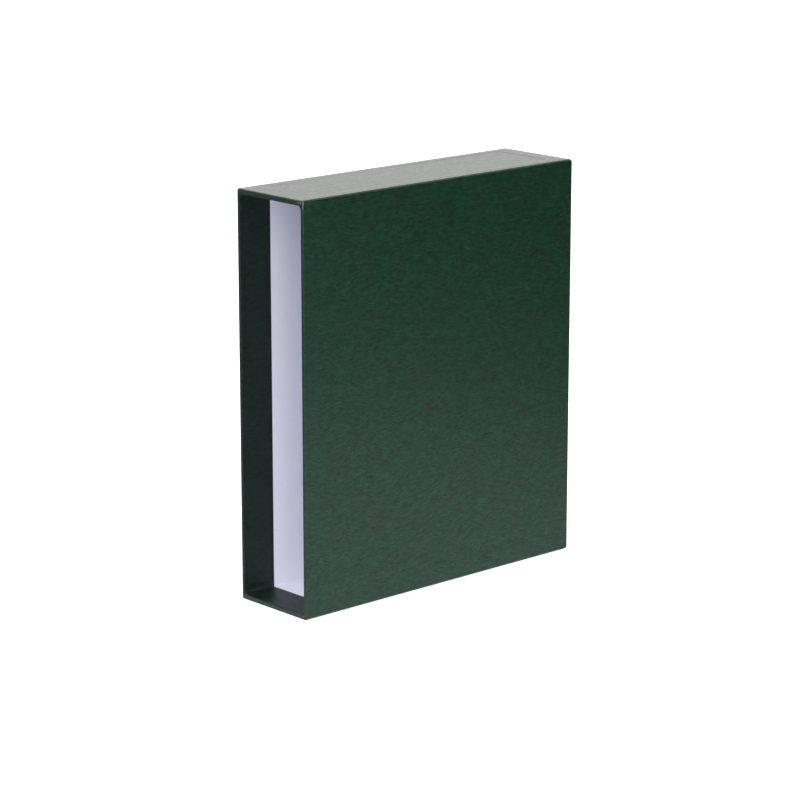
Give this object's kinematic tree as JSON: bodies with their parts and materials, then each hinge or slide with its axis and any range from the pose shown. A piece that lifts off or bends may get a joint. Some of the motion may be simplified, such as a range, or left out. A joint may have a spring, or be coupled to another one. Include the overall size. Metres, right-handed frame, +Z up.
{
  "type": "stamp album slipcase",
  "caption": "Open-ended upright slipcase that a ring-binder stamp album slides into: covered greyboard walls, paper lining, and cover turned in round the mouth.",
  "frame": {"origin": "centre of the bottom face, in the plane it stands on", "axes": "+Z up, the open mouth faces -Y and the closed back +Y, the thickness runs along X"},
  "size_m": [0.076, 0.28, 0.32],
  "materials": {
    "cover": "mottled dark green leatherette on paper, fine crinkled grain, satin",
    "board": "raw grey board, matt",
    "lining": "smooth white paper, matt",
    "stay": "brown gummed kraft paper, matt"
  },
  "bodies": {
    "root": {"outer_wrap": "cover", "top_cover_strip": "cover", "bottom_cover_strip": "cover", "left_side_board": "board", "right_side_board": "board", "top_board": "board", "bottom_board": "board", "back_board": "board", "left_side_lining": "lining", "right_side_lining": "lining", "top_lining": "lining", "bottom_lining": "lining", "back_lining": "lining", "stay_left_top": "stay", "stay_right_top": "stay", "stay_left_bottom": "stay", "stay_right_bottom": "stay", "stay_left_back": "stay", "stay_right_back": "stay", "stay_top_back": "stay", "stay_bottom_back": "stay"}
  },
  "joints": []
}
